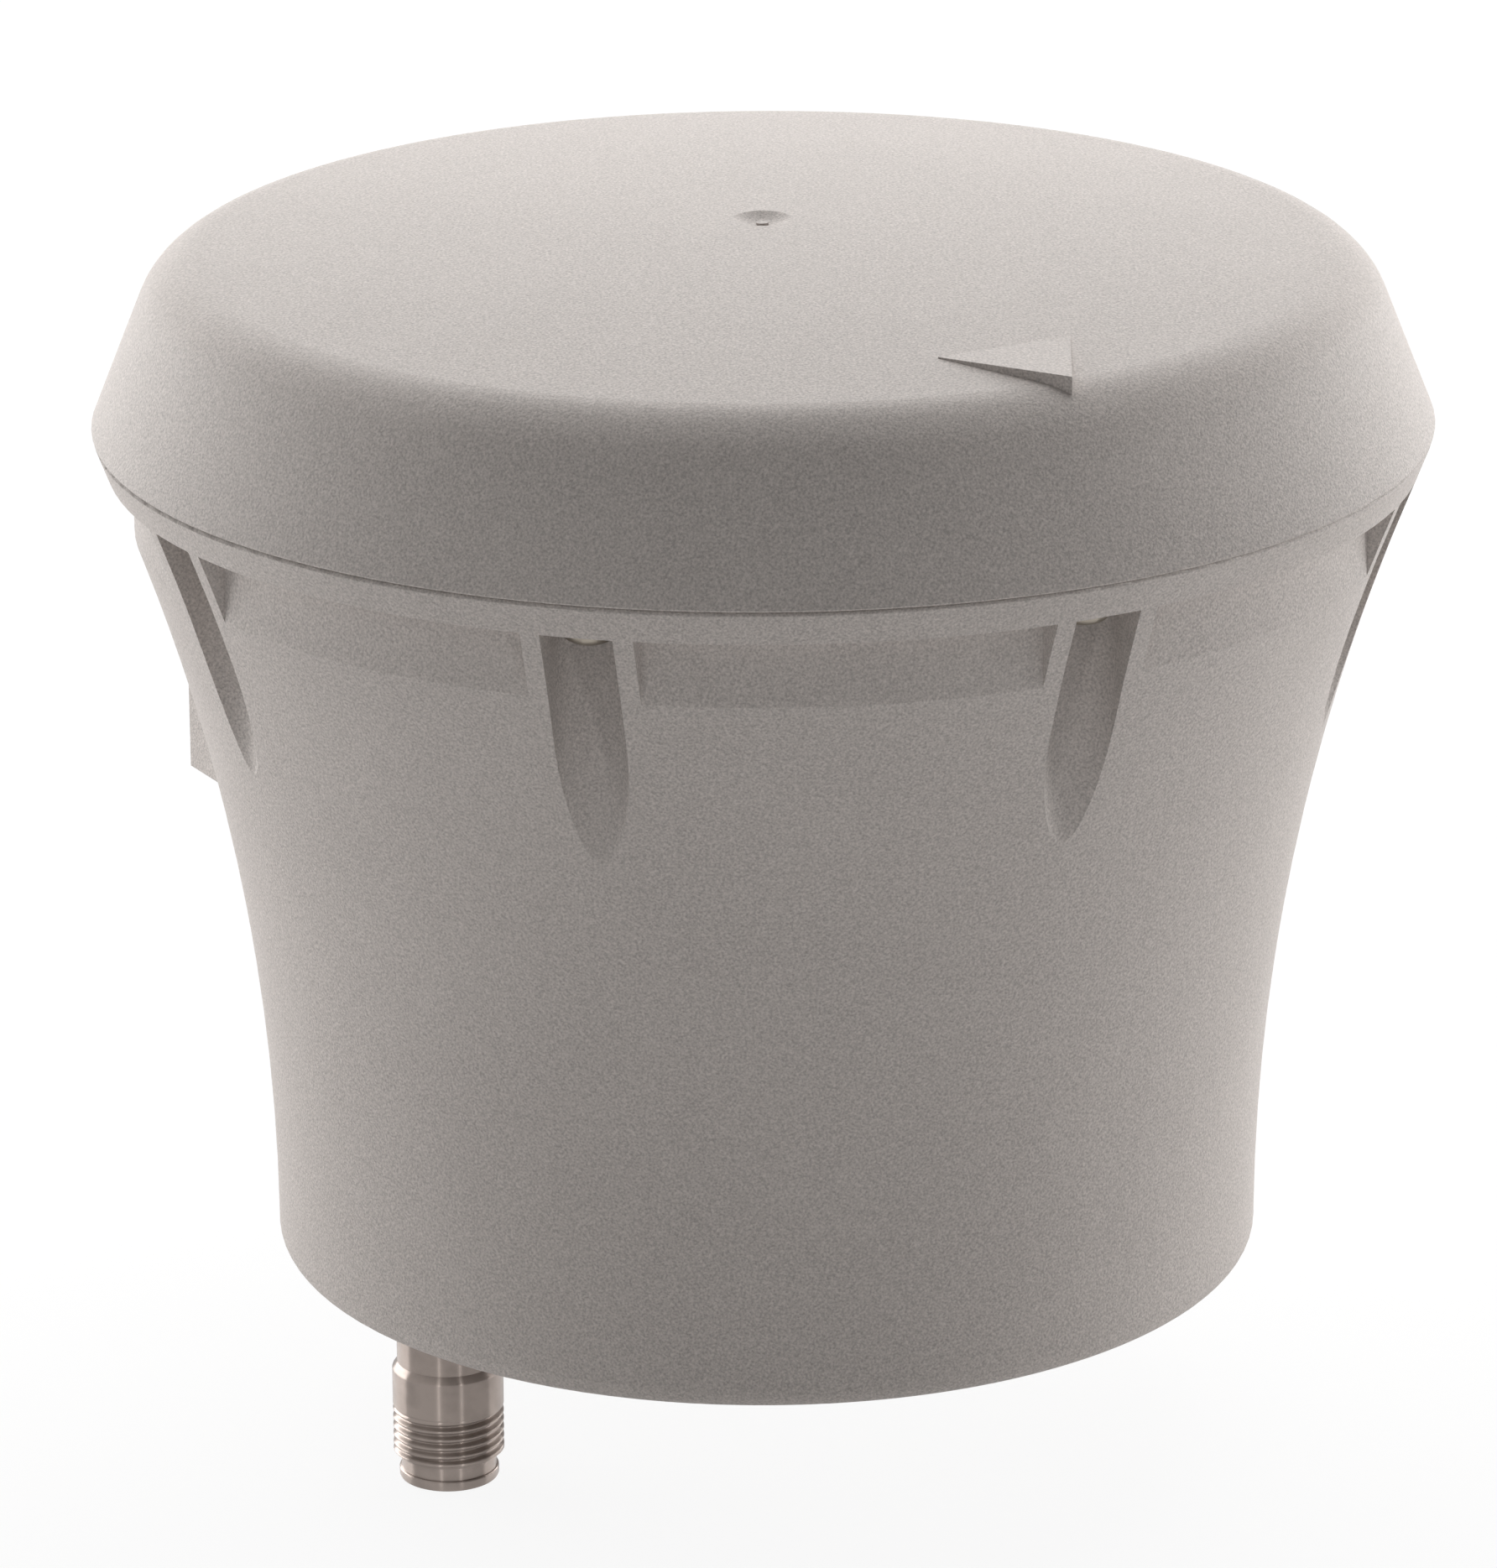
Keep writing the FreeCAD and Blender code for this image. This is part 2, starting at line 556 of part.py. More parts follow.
def makeReflectorCup():
    # A drawn cup: level floor, bent corner, a wall that keeps its distance from the flare or from the
    # columns where they stand nearer, and a turned-out rim.
    body = newBody("reflector_cup")
    sheetMetal, bend = size["cupThickness"], size["cupBend"]
    rimHeight = cupFloor + size["cupHeight"]
    low = cupLow
    top = lesser(flareWidth(rimHeight, cupInset), cupClear)
    curve = flareRadius + cupInset
    turned(body, "cupBody", [
        (size["spigotRadius"], boardTop), (low - bend, boardTop, bend), (low, cupWallFoot, -curve),
        (top, rimHeight), (top + size["cupRimWidth"], rimHeight),
        (top + size["cupRimWidth"], rimHeight + sheetMetal),
        (top - sheetMetal, rimHeight + sheetMetal, curve + sheetMetal),
        (low - sheetMetal, cupWallFoot, sheetMetal - bend),
        (low - bend, cupFloor), (size["spigotRadius"], cupFloor)])
    drawBossHoles(body, "cupScrewHole", cupFloor, sheetMetal + margin)
    feedSketch = newSketch(body, "cupFeedSketch", lift=cupFloor)
    drawFeedCircles(feedSketch, size["bushRadius"])
    bored(body, "cupFeedHoles", feedSketch, sheetMetal + margin)
    return body


def makeFeedBoard():
    body = newBody("feed_board")
    blankSketch = newSketch(body, "boardSketch", lift=size["boardSeat"])
    drawCircle(blankSketch, zero, zero, boardRadius)
    padded(body, "boardBlank", blankSketch, size["boardThickness"])
    drawBossHoles(body, "boardScrewHole", boardTop, size["boardThickness"] + margin)
    pinSketch = newSketch(body, "boardPinSketch", lift=boardTop)
    drawFeedCircles(pinSketch, size["feedPinRadius"])
    drawCircle(pinSketch, -connectorPlace, zero, size["pinRadius"])
    bored(body, "boardPinHoles", pinSketch, size["boardThickness"] + margin)
    return body


def makeBoardShield():
    # The can under the board, open towards it.
    body = newBody("board_shield")
    front, back, skin = boardRadius - size["canInset"], -size["canBack"], size["canWall"]
    halfWidth = bossCircle / math.sqrt(2) - size["bossRadius"] - size["canBossGap"]
    outside = newSketch(body, "canSketch", lift=size["boardSeat"] - size["canHeight"])
    drawRectangle(outside, back, front, -halfWidth, halfWidth)
    padded(body, "canBody", outside, size["canHeight"])
    inside = newSketch(body, "canInsideSketch", lift=size["boardSeat"])
    drawRectangle(inside, back + skin, front - skin, skin - halfWidth, halfWidth - skin)
    bored(body, "canInside", inside, size["canHeight"] - skin)
    return body


def makeCupScrews():
    headTop = cupFloor + size["cupHeadHeight"]
    foot = cupFloor - size["cupScrewLength"]
    return turnedPiece("cup_screws", [
        (zero, foot), (size["cupScrewRadius"], foot), (size["cupScrewRadius"], cupFloor),
        (size["cupHeadRadius"], cupFloor), (size["cupHeadRadius"], headTop - size["headEdge"]),
        (size["cupHeadRadius"] - size["headEdge"], headTop), (zero, headTop)],
        bossCircle, size["bossCount"], bossTurn)


def makeCupInserts():
    top = size["boardSeat"] - size["insertRecess"]
    return turnedPiece("cup_inserts", tube(size["cupScrewRadius"], size["bossInsertRadius"],
                                           top - size["bossInsertLength"], top),
                       bossCircle, size["bossCount"], bossTurn)


def makeCentrePost():
    return turnedPiece("centre_post", [
        (zero, boardTop), (size["spigotRadius"], boardTop), (size["spigotRadius"], cupFloor),
        (size["postRadius"], cupFloor), (size["postRadius"], drivenFoot), (size["studRadius"], drivenFoot),
        (size["studRadius"], stackTop + size["discNutHeight"] + size["studSpare"]),
        (zero, stackTop + size["discNutHeight"] + size["studSpare"])])


def makeDrivenDisc():
    body = newBody("driven_disc")
    turned(body, "drivenBlank", tube(size["studRadius"], size["drivenRadius"], drivenFoot, drivenTop))
    feedSketch = newSketch(body, "drivenFeedSketch", lift=drivenTop)
    drawFeedCircles(feedSketch, size["feedPinRadius"])
    bored(body, "drivenFeedHoles", feedSketch, size["discThickness"] + margin)
    return body


def makeDirector(name, radius, foot):
    return turnedPiece(name, tube(size["studRadius"], radius, foot, foot + size["discThickness"]))


def makeSpacers():
    body = newBody("disc_spacers", True)
    for place, foot in enumerate((drivenTop, lowerDirectorTop)):
        turned(body, "discSpacer%d" % place, tube(size["studRadius"], size["postRadius"], foot,
                                                  foot + size["spacerHeight"]))
    return body


def makeHexNut(name, along, acrossFlats, bore, foot, height):
    body = newBody(name)
    sketch = newSketch(body, name + "Sketch", along=along, lift=foot)
    drawHexagon(sketch, acrossFlats)
    drawCircle(sketch, zero, zero, bore)
    padded(body, name + "Body", sketch, height)
    return body


def makeFeedPins():
    body = newBody("feed_pins", True)
    sketch = newSketch(body, "feedPinSketch", lift=size["boardSeat"] - size["feedTail"])
    drawFeedCircles(sketch, size["feedPinRadius"])
    padded(body, "feedPinGroup", sketch, drivenTop - size["boardSeat"] + size["feedTail"])
    return body


def makeFeedBushes():
    body = newBody("feed_bushes", True)
    sketch = newSketch(body, "feedBushSketch", lift=boardTop)
    drawFeedCircles(sketch, size["bushRadius"], size["feedPinRadius"])
    padded(body, "feedBushGroup", sketch, size["bushHeight"])
    return body


def makeConnector():
    # A bulkhead socket with an outside thread. Its heights are drops below the base face.
    place = -connectorPlace
    tip = -size["tipDrop"]
    flangeTop = -size["sealThickness"]
    flangeFoot = flangeTop - size["flangeThickness"]
    step = size["tipChamfer"]
    turnedPiece("connector_shell", [
        (size["insulatorRadius"], tip + size["socketDepth"]),
        (size["socketRadius"], tip + size["socketDepth"]), (size["socketRadius"], tip),
        (size["lipRadius"] - step, tip), (size["lipRadius"], tip + step),
        (size["lipRadius"], -size["grooveDrop"]), (size["grooveRadius"], -size["grooveDrop"]),
        (size["grooveRadius"], -size["threadDrop"]), (size["barrelRadius"], -size["threadDrop"]),
        (size["barrelRadius"], -size["barrelDrop"]), (size["neckRadius"], -size["neckDrop"]),
        (size["neckRadius"], flangeFoot), (size["flangeRadius"], flangeFoot),
        (size["flangeRadius"], flangeTop),
        (size["tailRadius"], flangeTop), (size["tailRadius"], size["tailRise"]),
        (size["insulatorRadius"], size["tailRise"])], place)
    turnedPiece("connector_seal", tube(size["tailRadius"], size["flangeRadius"], flangeTop, zero), place)
    turnedPiece("connector_washer", tube(size["tailRadius"], size["washerRadius"], floorTop,
                                         floorTop + size["washerThickness"]), place)
    makeHexNut("connector_nut", place, size["nutAcross"], size["tailRadius"],
               floorTop + size["washerThickness"], size["nutThickness"])
    turnedPiece("connector_insulator", tube(size["contactRadius"], size["insulatorRadius"], insulatorFoot,
                                            size["tailRise"]), place)
    contactFoot = insulatorFoot - size["contactReach"]
    pinTop = boardTop - size["pinInset"]
    turnedPiece("connector_contact", [
        (size["contactBore"], contactFoot), (size["contactRadius"], contactFoot),
        (size["contactRadius"], size["tailRise"]), (size["pinRadius"], size["tailRise"]),
        (size["pinRadius"], pinTop),
        (zero, pinTop), (zero, contactFoot + size["contactBoreDepth"]),
        (size["contactBore"], contactFoot + size["contactBoreDepth"])], place)


makeHousing()
makeLid()
makeGasket()
makeLidScrews()
makeLidInserts()
makeMountInserts()
makeReflectorCup()
makeFeedBoard()
makeBoardShield()
makeCupScrews()
makeCupInserts()
makeCentrePost()
makeDrivenDisc()
makeDirector("lower_director", size["lowerDirectorRadius"], lowerDirectorFoot)
makeDirector("upper_director", size["upperDirectorRadius"], upperDirectorFoot)
makeSpacers()
makeHexNut("disc_nut", zero, size["discNutAcross"], size["studRadius"], stackTop, size["discNutHeight"])
makeFeedPins()
makeFeedBushes()
makeConnector()
doc.recompute()

nodes = [
    "housing_body", "radome_lid", "lid_gasket", "lid_screws", "lid_inserts", "mount_inserts",
    "reflector_cup", "feed_board", "board_shield", "cup_screws", "cup_inserts", "centre_post",
    "driven_disc", "lower_director", "upper_director", "disc_spacers", "disc_nut", "feed_pins",
    "feed_bushes", "connector_shell", "connector_seal", "connector_washer", "connector_nut",
    "connector_insulator", "connector_contact"]

failed = [item.Name for item in doc.Objects if "Invalid" in item.State or "Error" in item.State]
if failed:
    raise RuntimeError("These objects failed: " + ", ".join(failed))
for name in nodes:
    shape = doc.getObject(name).Shape
    if shape.isNull() or not shape.isValid():
        raise RuntimeError(name + " has no valid shape")
for name in nodes:
    shape = doc.getObject(name).Shape
    shape.exportStep("parts/%s.step" % name)
    print(name, "solids", len(shape.Solids), "volume", round(shape.Volume, 1))
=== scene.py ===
import json
import math

import bmesh
import bpy
from mathutils import Matrix, Vector


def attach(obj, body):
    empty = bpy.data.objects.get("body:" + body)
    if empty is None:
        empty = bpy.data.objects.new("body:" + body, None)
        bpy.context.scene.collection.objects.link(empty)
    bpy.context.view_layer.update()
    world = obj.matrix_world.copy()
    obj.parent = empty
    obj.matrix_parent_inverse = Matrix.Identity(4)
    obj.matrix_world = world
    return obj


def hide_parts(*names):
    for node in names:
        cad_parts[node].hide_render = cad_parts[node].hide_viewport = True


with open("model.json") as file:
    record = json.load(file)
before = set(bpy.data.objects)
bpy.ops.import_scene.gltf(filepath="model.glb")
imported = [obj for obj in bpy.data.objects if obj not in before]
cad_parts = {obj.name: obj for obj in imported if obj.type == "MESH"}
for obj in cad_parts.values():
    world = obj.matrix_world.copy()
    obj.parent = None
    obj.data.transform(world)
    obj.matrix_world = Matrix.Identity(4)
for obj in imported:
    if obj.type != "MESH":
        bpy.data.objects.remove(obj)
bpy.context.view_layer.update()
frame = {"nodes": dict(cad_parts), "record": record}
nodes = frame["nodes"]
mm = 0.001
print("frame loaded:", len(nodes), "nodes")


# Small helpers for meshes and node trees

def newPiece(name, vertices, faces, body="root"):
    mesh = bpy.data.meshes.new(name)
    mesh.from_pydata([tuple(point) for point in vertices], [], faces)
    mesh.validate()
    piece = bpy.data.objects.new(name, mesh)
    bpy.context.scene.collection.objects.link(piece)
    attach(piece, body)
    return piece


def shadeSmooth(piece, degrees):
    limit = math.radians(degrees)
    mesh = bmesh.new()
    mesh.from_mesh(piece.data)
    for face in mesh.faces:
        face.smooth = True
    for edge in mesh.edges:
        edge.smooth = len(edge.link_faces) == 2 and edge.calc_face_angle(0) < limit
    mesh.to_mesh(piece.data)
    mesh.free()


def nodeAt(tree, kind, x, y, inputs=None, **settings):
    # An input takes a value, or is linked where another node's output is given
    item = tree.nodes.new(kind)
    item.location = (x, y)
    for key, value in settings.items():
        setattr(item, key, value)
    for label, value in (inputs or {}).items():
        if isinstance(value, bpy.types.NodeSocket):
            tree.links.new(value, item.inputs[label])
        else:
            item.inputs[label].default_value = value
    return item


def mathAt(tree, operation, x, y, *values):
    item = nodeAt(tree, "ShaderNodeMath", x, y, dict(enumerate(values)), operation=operation)
    return item.outputs[0]


def noiseAt(tree, x, y, inputs):
    return nodeAt(tree, "ShaderNodeTexNoise", x, y, inputs).outputs["Fac"]


def rangeAt(tree, x, y, value, low, high, toLow=0, toHigh=1):
    return nodeAt(tree, "ShaderNodeMapRange", x, y, {
        "Value": value, "From Min": low, "From Max": high, "To Min": toLow, "To Max": toHigh,
    }).outputs[0]


def scaleAt(tree, x, y, color, share):
    item = nodeAt(tree, "ShaderNodeVectorMath", x, y, {0: color, "Scale": share},
                  operation="SCALE")
    return item.outputs[0]


def newGroup(name, inputs):
    # Each effect takes the named inputs and gives a colour, a roughness and a height
    group = bpy.data.node_groups.new(name, "ShaderNodeTree")
    for label, kind, value in inputs:
        socket = group.interface.new_socket(name=label, in_out="INPUT", socket_type=kind)
        socket.default_value = value
    for label, kind in (("Color", colorKind), ("Roughness", floatKind), ("Height", floatKind)):
        group.interface.new_socket(name=label, in_out="OUTPUT", socket_type=kind)
    return group, nodeAt(group, "NodeGroupInput", -900, 0).outputs


colorKind, floatKind = "NodeSocketColor", "NodeSocketFloat"


# Spark-eroded texture of a moulded face, with a very soft drift in the colour

mouldSizes = {
    # Turned, so that no flat face lies along the noise's own planes, where it would show rings
    "tilt": (0.6, 0.9, 0.4),
    "grainDetail": 2, "grainRoughness": 0.6, "driftPerMetre": 55, "driftDetail": 3,
    "noiseLow": 0.3, "noiseHigh": 0.7, "driftShare": 0.08, "roughnessShare": 0.04,
}


def buildMouldGrain():
    tree, source = newGroup("mouldGrain", [
        ("Color", colorKind, (0.5, 0.5, 0.5, 1)), ("Grain Size", floatKind, 0.3),
        ("Roughness", floatKind, 0.5), ("Mottle", floatKind, 0.03),
    ])
    place = nodeAt(tree, "ShaderNodeTexCoord", -900, -300).outputs["Object"]
    turned = nodeAt(tree, "ShaderNodeMapping", -700, -300, {
        "Vector": place, "Rotation": mouldSizes["tilt"],
    }).outputs[0]
    perMetre = mathAt(tree, "DIVIDE", -700, -100, 1 / mm, source["Grain Size"])
    grain = noiseAt(tree, -500, -100, {
        "Vector": turned, "Scale": perMetre, "Detail": mouldSizes["grainDetail"],
        "Roughness": mouldSizes["grainRoughness"],
    })
    cloud = noiseAt(tree, -500, -400, {
        "Vector": turned, "Scale": mouldSizes["driftPerMetre"], "Detail": mouldSizes["driftDetail"],
    })
    low, high, reach = (mouldSizes[name] for name in ("noiseLow", "noiseHigh", "driftShare"))
    speck = rangeAt(tree, -250, -100, grain, low, high, -1, 1)
    drift = rangeAt(tree, -250, -400, cloud, low, high, -reach, reach)
    together = mathAt(tree, "ADD", -50, -250, speck, drift)
    share = mathAt(tree, "MULTIPLY_ADD", 130, -250, together, source["Mottle"], 1)
    rough = mathAt(tree, "MULTIPLY_ADD", 330, -150, drift, mouldSizes["roughnessShare"],
                   source["Roughness"])
    tint = scaleAt(tree, 330, 100, source["Color"], share)
    nodeAt(tree, "NodeGroupOutput", 700, 0, {"Color": tint, "Roughness": rough, "Height": grain})
    return tree


# Lathe lines that run round an upright axis, with a little tarnish

latheSizes = {
    "stretch": (60, 60, 6000), "lineDetail": 3, "stainPerMetre": 400, "stainDetail": 4,
    "stainLow": 0.45, "stainHigh": 0.75, "roughnessShare": 0.12,
}


def buildTurnedMetal():
    tree, source = newGroup("turnedMetal", [
        ("Color", colorKind, (0.7, 0.7, 0.7, 1)), ("Roughness", floatKind, 0.25),
        ("Tarnish", floatKind, 0.15),
    ])
    place = nodeAt(tree, "ShaderNodeTexCoord", -1100, -300).outputs["Object"]
    stretched = nodeAt(tree, "ShaderNodeMapping", -900, -300, {
        "Vector": place, "Scale": latheSizes["stretch"],
    }).outputs[0]
    lines = noiseAt(tree, -650, -200, {
        "Vector": stretched, "Scale": 1, "Detail": latheSizes["lineDetail"],
    })
    cloud = noiseAt(tree, -650, -500, {
        "Vector": place, "Scale": latheSizes["stainPerMetre"], "Detail": latheSizes["stainDetail"],
    })
    stain = rangeAt(tree, -400, -500, cloud, latheSizes["stainLow"], latheSizes["stainHigh"])
    dull = mathAt(tree, "MULTIPLY", -200, -500, stain, source["Tarnish"])
    share = mathAt(tree, "SUBTRACT", 0, -300, 1, dull)
    rough = mathAt(tree, "MULTIPLY_ADD", 250, -150, lines, latheSizes["roughnessShare"],
                   source["Roughness"])
    tint = scaleAt(tree, 250, 100, source["Color"], share)
    nodeAt(tree, "NodeGroupOutput", 700, 0, {"Color": tint, "Roughness": rough, "Height": lines})
    return tree


# Finishes by the record's material slots. A bump's depth is in metres.

mouldedLook = {
    "effect": {"Color": (0.488, 0.447, 0.422, 1), "Grain Size": 0.24, "Roughness": 0.6,
               "Mottle": 0.26},
    "bump": 0.7, "depth": 0.00008, "specular": 0.15,
}
plasticLooks = {
    "housing": mouldedLook,
    "lid": mouldedLook,
    "gasket": {
        "effect": {"Color": (0.03, 0.03, 0.03, 1), "Grain Size": 0.2, "Roughness": 0.75,
                   "Mottle": 0.1},
        "bump": 0.3, "depth": 0.00005},
    "board": {
        "effect": {"Color": (0.02, 0.13, 0.05, 1), "Grain Size": 0.5, "Roughness": 0.3,
                   "Mottle": 0.08},
        "bump": 0.1, "depth": 0.00003},
    "spacers": {
        "effect": {"Color": (0.75, 0.75, 0.72, 1), "Grain Size": 0.3, "Roughness": 0.5,
                   "Mottle": 0.03},
        "bump": 0.2, "depth": 0.00004},
    "insulator": {
        "effect": {"Color": (0.82, 0.82, 0.79, 1), "Grain Size": 0.2, "Roughness": 0.4,
                   "Mottle": 0.02},
        "bump": 0.1, "depth": 0.00003},
}
metalLooks = {
    "connector": {
        "effect": {"Color": (0.30, 0.255, 0.23, 1), "Roughness": 0.27, "Tarnish": 0.18},
        "bump": 0.1, "depth": 0.00001, "metallic": 1, "anisotropic": 1},
    "screws": {
        "effect": {"Color": (0.36, 0.32, 0.27, 1), "Roughness": 0.32, "Tarnish": 0.2},
        "bump": 0.2, "depth": 0.00002, "metallic": 1},
    "inserts": {
        "effect": {"Color": (0.72, 0.52, 0.26, 1), "Roughness": 0.3, "Tarnish": 0.25},
        "bump": 0.2, "depth": 0.00002, "metallic": 1},
    "cup": {
        "effect": {"Color": (0.80, 0.80, 0.79, 1), "Roughness": 0.35, "Tarnish": 0.1},
        "bump": 0.2, "depth": 0.00002, "metallic": 1},
    "can": {
        "effect": {"Color": (0.70, 0.70, 0.68, 1), "Roughness": 0.3, "Tarnish": 0.15},
        "bump": 0.15, "depth": 0.00002, "metallic": 1},
    "post": {
        "effect": {"Color": (0.74, 0.56, 0.30, 1), "Roughness": 0.25, "Tarnish": 0.15},
        "bump": 0.2, "depth": 0.00002, "metallic": 1},
    "discs": {
        "effect": {"Color": (0.74, 0.56, 0.30, 1), "Roughness": 0.3, "Tarnish": 0.2},
        "bump": 0.15, "depth": 0.00002, "metallic": 1},
    "contact": {
        "effect": {"Color": (0.85, 0.63, 0.28, 1), "Roughness": 0.18, "Tarnish": 0.05},
        "bump": 0.1, "depth": 0.00001, "metallic": 1},
}
quarterTurn = 0.25


def groupedMaterial(name, group, look):
    material = bpy.data.materials.new(name)
    material.use_nodes = True
    tree = material.node_tree
    shader = tree.nodes["Principled BSDF"]
    effect = nodeAt(tree, "ShaderNodeGroup", -500, 100, node_tree=group)
    for label, value in look["effect"].items():
        effect.inputs[label].default_value = value
    bump = nodeAt(tree, "ShaderNodeBump", -250, -250, {
        "Strength": look["bump"], "Distance": look["depth"], "Height": effect.outputs["Height"],
    })
    tree.links.new(effect.outputs["Color"], shader.inputs["Base Color"])
    tree.links.new(effect.outputs["Roughness"], shader.inputs["Roughness"])
    tree.links.new(bump.outputs["Normal"], shader.inputs["Normal"])
    shader.inputs["Metallic"].default_value = look.get("metallic", 0)
    shader.inputs["Specular IOR Level"].default_value = look.get("specular", 0.5)
    # Lathe lines spread a highlight up and down, across the way they run
    shader.inputs["Anisotropic"].default_value = look.get("anisotropic", 0)
    shader.inputs["Anisotropic Rotation"].default_value = quarterTurn
    return material


finishes = {}
for group, looks in ((buildMouldGrain(), plasticLooks), (buildTurnedMetal(), metalLooks)):
    for name, look in looks.items():
        finishes[name] = groupedMaterial(name + "Finish", group, look)

for part in frame["record"]["subparts"]:
    materials = nodes[part["node"]].data.materials
    materials.clear()
    materials.append(finishes[part["material_slot"]])
print("finishes made:", len(finishes))


# Connector body with its thread, in millimetres

connector = {
    "place": (-36.7, 0), "segments": 160, "barrelRadius": 5.55, "rowStep": 0.03,
    "threadPitch": 0.907, "threadStart": -11.9, "threadEnd": -16.75, "threadDepth": 0.46,
    "threadFade": 0.4, "grooveShape": 1.2, "sharpFrom": 28,
    # Radius and height down the outside, then up the socket
    "profile": [
        (2.3, 8.1), (4.7, 8.1), (4.7, -0.8), (7.1, -0.8), (7.1, -3), (5.05, -3),
        (5.05, -7.3), (5.5, -7.95), (5.55, -8.1), (5.55, -16.8), (5.05, -17.1),
        (4.95, -17.3), (4.75, -17.35), (4.75, -18.65), (4.9, -18.7), (4.98, -18.8),
        (4.98, -19.5), (4.88, -19.7), (4.68, -19.8), (4.15, -19.8), (4.05, -19.7),
        (4.05, -11.2), (2.3, -11.2),
    ],
}


def threadCut(height, turn):
    # How far the thread's groove lies below its crest, at a height and a turn from 0 to 1
    top, bottom = connector["threadStart"], connector["threadEnd"]
    if not bottom < height < top:
        return 0
    rounds = (top - height) / connector["threadPitch"] + turn
    wave = 0.5 - 0.5 * math.cos(math.tau * rounds)
    fade = min(1, (top - height) / connector["threadFade"],
               (height - bottom) / connector["threadFade"])
    return connector["threadDepth"] * wave ** connector["grooveShape"] * fade


def connectorRings():
    # The profile's points, with fine rows down the barrel for the thread
    profile, barrel = connector["profile"], connector["barrelRadius"]
    rings = []
    for (r0, z0), (r1, z1) in zip(profile, profile[1:] + profile[:1]):
        onBarrel = r0 == r1 == barrel
        steps = max(1, round(abs(z1 - z0) / connector["rowStep"])) if onBarrel else 1
        for step in range(steps):
            share = step / steps
            rings.append((r0 + (r1 - r0) * share, z0 + (z1 - z0) * share))
    return rings


def buildConnector():
    rings, count = connectorRings(), connector["segments"]
    middleX, middleY = connector["place"]
    vertices = []
    for radius, height in rings:
        for spoke in range(count):
            turn = spoke / count
            angle = math.tau * turn
            cut = threadCut(height, turn) if radius == connector["barrelRadius"] else 0
            vertices.append(((middleX + (radius - cut) * math.cos(angle)) * mm,
                             (middleY + (radius - cut) * math.sin(angle)) * mm, height * mm))
    faces = []
    for row in range(len(rings)):
        below = (row + 1) % len(rings)
        for spoke in range(count):
            beside = (spoke + 1) % count
            faces.append((row * count + spoke, below * count + spoke,
                          below * count + beside, row * count + beside))
    piece = newPiece("connectorBody", vertices, faces)
    shadeSmooth(piece, connector["sharpFrom"])
    piece.data.materials.append(finishes["connector"])
    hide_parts("connector_shell")


buildConnector()
print("connector made")


# Floor, light and camera, in metres

stage = {
    "floorDrop": 0.0202, "floorReach": 6, "floorColor": (0.86, 0.86, 0.86, 1),
    "floorWhite": 0.91, "worldLight": 0.1,
}
white = (1, 1, 1, 1)


def seenRays(tree):
    # 1 for the rays of the camera and of what metal and glass show
    rays = nodeAt(tree, "ShaderNodeLightPath", -800, 300).outputs
    pair = mathAt(tree, "MAXIMUM", -600, 300, rays["Is Camera Ray"], rays["Is Glossy Ray"])
    return mathAt(tree, "MAXIMUM", -400, 300, pair, rays["Is Transmission Ray"])


def floorMaterial():
    # A plain pale surface that the camera sees nearly white, and that keeps a soft shadow
    material = bpy.data.materials.new("floorPale")
    material.use_nodes = True
    tree = material.node_tree
    tree.nodes.clear()
    share = mathAt(tree, "MULTIPLY", -200, 300, seenRays(tree), stage["floorWhite"])
    plain = nodeAt(tree, "ShaderNodeBsdfDiffuse", -200, 100, {"Color": stage["floorColor"]})
    glow = nodeAt(tree, "ShaderNodeEmission", -200, -100, {"Color": white})
    mix = nodeAt(tree, "ShaderNodeMixShader", 200, 0, {
        0: share, 1: plain.outputs[0], 2: glow.outputs[0],
    })
    # From below it is clear, so that a view from there shows the base
    side = nodeAt(tree, "ShaderNodeNewGeometry", 200, 300)
    clear = nodeAt(tree, "ShaderNodeBsdfTransparent", 200, -200)
    sides = nodeAt(tree, "ShaderNodeMixShader", 400, 0, {
        0: side.outputs["Backfacing"], 1: mix.outputs[0], 2: clear.outputs[0],
    })
    nodeAt(tree, "ShaderNodeOutputMaterial", 600, 0, {"Surface": sides.outputs[0]})
    return material


def buildFloor():
    reach, drop = stage["floorReach"], -stage["floorDrop"]
    corners = [(-reach, -reach), (reach, -reach), (reach, reach), (-reach, reach)]
    floor = newPiece("floor", [(x, y, drop) for x, y in corners], [(0, 1, 2, 3)])
    floor.data.materials.append(floorMaterial())


def buildWorld():
    world = bpy.data.worlds.new("studio")
    bpy.context.scene.world = world
    world.use_nodes = True
    tree = world.node_tree
    tree.nodes.clear()
    dim = nodeAt(tree, "ShaderNodeBackground", -200, -100, {
        "Color": white, "Strength": stage["worldLight"],
    })
    bright = nodeAt(tree, "ShaderNodeBackground", -200, 100, {"Color": white})
    mix = nodeAt(tree, "ShaderNodeMixShader", 200, 0, {
        0: seenRays(tree), 1: dim.outputs[0], 2: bright.outputs[0],
    })
    nodeAt(tree, "ShaderNodeOutputWorld", 400, 0, {"Surface": mix.outputs[0]})


# Fitted to the photograph's lid line, silhouette and arrow. Distance and rise are in rim radii,
# the lid line and the rim in millimetres, and the angles in degrees.
camera = {
    "rim": 66, "lidLine": 85.5, "distance": 11.7966, "rise": 3.3952, "pitch": 18.6382,
    "yaw": -0.1194, "roll": -0.2879, "turn": -29.5, "focalPixels": 9802.3, "longSide": 1869,
    "sensor": 36, "clipStart": 0.02, "clipEnd": 20,
}


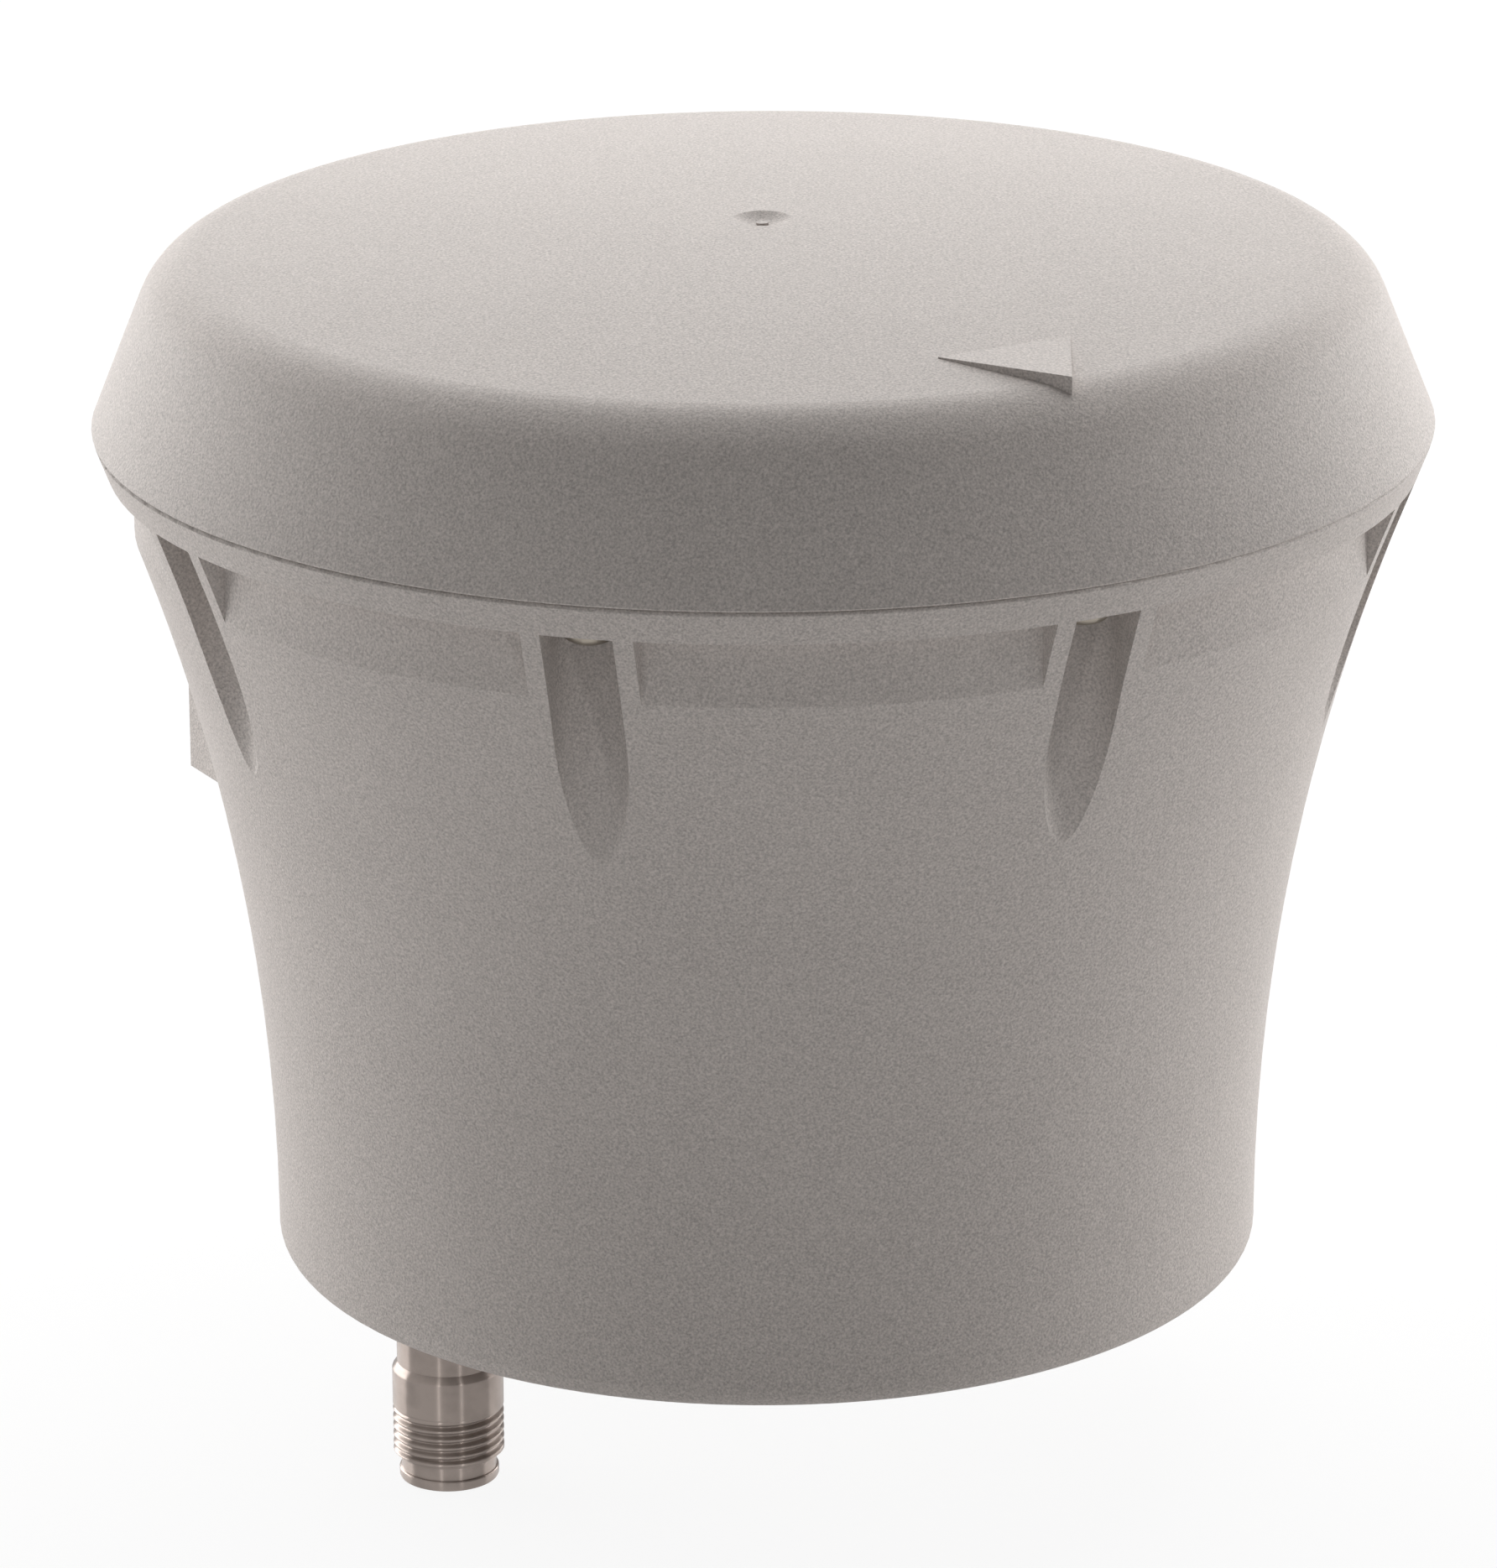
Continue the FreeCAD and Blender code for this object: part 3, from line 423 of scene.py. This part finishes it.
def placeCamera():
    data = bpy.data.cameras.new("photoCamera")
    data.sensor_width = camera["sensor"]
    data.lens = camera["focalPixels"] / camera["longSide"] * camera["sensor"]
    data.clip_start, data.clip_end = camera["clipStart"], camera["clipEnd"]
    pitch, yaw, roll = (math.radians(camera[name]) for name in ("pitch", "yaw", "roll"))
    ahead = Vector((math.sin(yaw) * math.cos(pitch), math.cos(yaw) * math.cos(pitch),
                    -math.sin(pitch)))
    right = Vector((math.cos(yaw), -math.sin(yaw), 0))
    up = right.cross(ahead)
    rolledRight = right * math.cos(roll) + up * math.sin(roll)
    rolledUp = up * math.cos(roll) - right * math.sin(roll)
    turn = Matrix.Rotation(math.radians(camera["turn"]), 4, "Z")
    facing = Matrix((rolledRight, rolledUp, -ahead)).transposed().to_4x4()
    rim = camera["rim"] * mm
    place = Vector((0, -camera["distance"] * rim,
                    camera["rise"] * rim + camera["lidLine"] * mm))
    viewer = bpy.data.objects.new("photoCamera", data)
    viewer.matrix_world = turn @ Matrix.Translation(place) @ facing
    bpy.context.scene.collection.objects.link(viewer)
    bpy.context.scene.camera = viewer


# Azimuths count from the camera and elevations from level, both seen from the aim point.
# The two strips draw the upright highlights on the connector.
aimHeight = 0.05
softboxes = {
    "overhead": {"azimuth": 180, "elevation": 68, "distance": 0.9, "width": 0.9,
                 "height": 0.7, "watts": 5.4},
    "back": {"azimuth": 180, "elevation": 28, "distance": 1.0, "width": 1.2,
             "height": 0.4, "watts": 6},
    "left": {"azimuth": -118, "elevation": 5, "distance": 0.9, "width": 0.9,
             "height": 0.5, "watts": 9},
    "right": {"azimuth": 118, "elevation": 5, "distance": 0.9, "width": 0.9,
              "height": 0.5, "watts": 9},
    "stripLeft": {"azimuth": -18, "elevation": 2, "distance": 1.0, "width": 0.025,
                  "height": 0.4, "watts": 0.7},
    "stripRight": {"azimuth": 27, "elevation": 2, "distance": 1.0, "width": 0.025,
                   "height": 0.4, "watts": 0.7},
}


def placeLight(name, box):
    data = bpy.data.lights.new(name, "AREA")
    data.shape = "RECTANGLE"
    data.size, data.size_y = box["width"], box["height"]
    data.energy = box["watts"]
    lamp = bpy.data.objects.new(name, data)
    around = math.radians(camera["turn"] + box["azimuth"])
    above = math.radians(box["elevation"])
    away = Vector((math.sin(around) * math.cos(above), -math.cos(around) * math.cos(above),
                   math.sin(above)))
    lamp.location = Vector((0, 0, aimHeight)) + away * box["distance"]
    lamp.rotation_mode = "QUATERNION"
    lamp.rotation_quaternion = (-away).to_track_quat("-Z", "Y")
    bpy.context.scene.collection.objects.link(lamp)


buildFloor()
buildWorld()
placeCamera()
for name, box in softboxes.items():
    placeLight(name, box)
bpy.context.scene.view_settings.view_transform = "Standard"
print("stage, light and camera placed")
